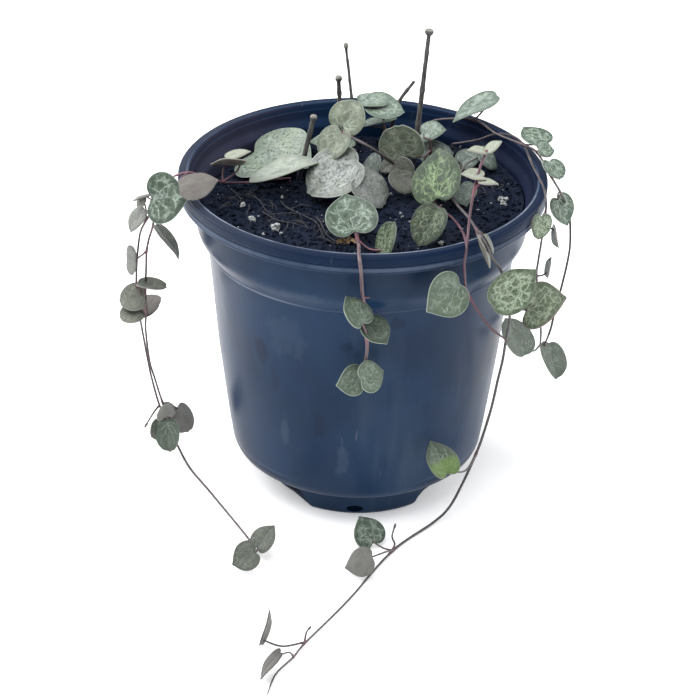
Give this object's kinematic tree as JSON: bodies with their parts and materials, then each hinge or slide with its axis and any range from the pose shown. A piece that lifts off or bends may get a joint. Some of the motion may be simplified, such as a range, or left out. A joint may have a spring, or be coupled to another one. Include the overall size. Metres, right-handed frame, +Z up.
{
  "type": "potted plant",
  "caption": "String of hearts (Ceropegia woodii) in a dark navy plastic nursery pot, thin vines with marbled heart leaves trailing over the rim and onto the surface",
  "frame": {"origin": "centre of the pot's underside, on the surface it stands on", "axes": "+Z up along the pot's axis, -Y to the side the plant is seen from, +X to the viewer's right"},
  "size_m": [0.1648, 0.2086, 0.1651],
  "materials": {
    "pot_navy": "satin moulded plastic, lightly scuffed",
    "soil_black": "rough dark peat",
    "stem_brown": "satin green leaves, brown stems",
    "stem_pale": "satin pale speckled leaves",
    "stem_pink": "satin green leaves, pink-red stems",
    "stalk_grey": "dry matte bark"
  },
  "bodies": {
    "root": {"pot": "pot_navy", "soil": "soil_black", "vine_left": "stem_brown", "crown_left": "stem_pale", "vine_front": "stem_pink", "vine_red": "stem_pink", "vine_trailing": "stem_brown", "vine_right_outer": "stem_brown", "vine_right_inner": "stem_brown", "crown_middle": "stem_brown", "crown_white": "stem_pale", "crown_back": "stem_pale", "crown_olive": "stem_brown", "crown_right": "stem_brown", "cut_stalk_tall": "stalk_grey", "cut_stalk_back_right": "stalk_grey", "cut_stalk_back_mid": "stalk_grey", "cut_stalk_back_left": "stalk_grey", "cut_stalk_left": "stalk_grey"}
  },
  "joints": []
}
